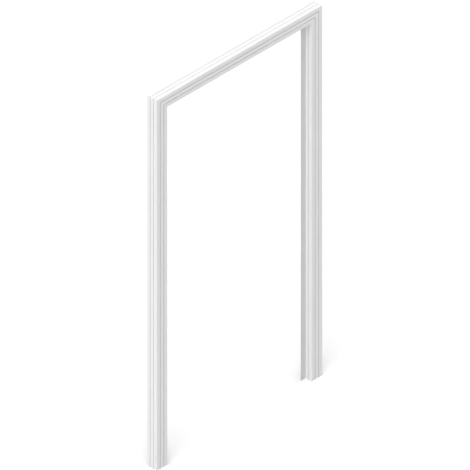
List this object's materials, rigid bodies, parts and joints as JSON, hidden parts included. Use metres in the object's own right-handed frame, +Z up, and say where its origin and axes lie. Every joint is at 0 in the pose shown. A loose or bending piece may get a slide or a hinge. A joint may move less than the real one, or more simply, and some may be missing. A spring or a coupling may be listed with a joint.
{
  "type": "aluminium door frame",
  "caption": "Door frame of mitred hollow aluminium extrusion with shadow lines on its faces, grooves along its sides and a thin stop blade round the doorway; open at the foot.",
  "frame": {"origin": "on the floor, midway between the outer sides of the jambs and midway through the depth", "axes": "+X across the doorway to the right seen from the front, +Y from the front face (the side the leaf closes from) to the rear face, +Z up"},
  "size_m": [1.09, 0.065, 2.11],
  "materials": {
    "frame_profile": "matt natural anodised extrusion",
    "stop_blade": "matt anodised strip, a shade darker than the frame",
    "cleat_metal": "sawn mill-finish extrusion",
    "pin_steel": "plain steel pin",
    "angle_steel": "stamped stainless plate"
  },
  "bodies": {
    "root": {"left_jamb": "frame_profile", "right_jamb": "frame_profile", "head": "frame_profile", "left_stop": "stop_blade", "right_stop": "stop_blade", "head_stop": "stop_blade", "left_front_cleat": "cleat_metal", "left_rear_cleat": "cleat_metal", "left_front_cleat_pins": "pin_steel", "left_rear_cleat_pins": "pin_steel", "left_front_alignment_angle": "angle_steel", "left_rear_alignment_angle": "angle_steel", "right_front_cleat": "cleat_metal", "right_rear_cleat": "cleat_metal", "right_front_cleat_pins": "pin_steel", "right_rear_cleat_pins": "pin_steel", "right_front_alignment_angle": "angle_steel", "right_rear_alignment_angle": "angle_steel"}
  },
  "joints": []
}
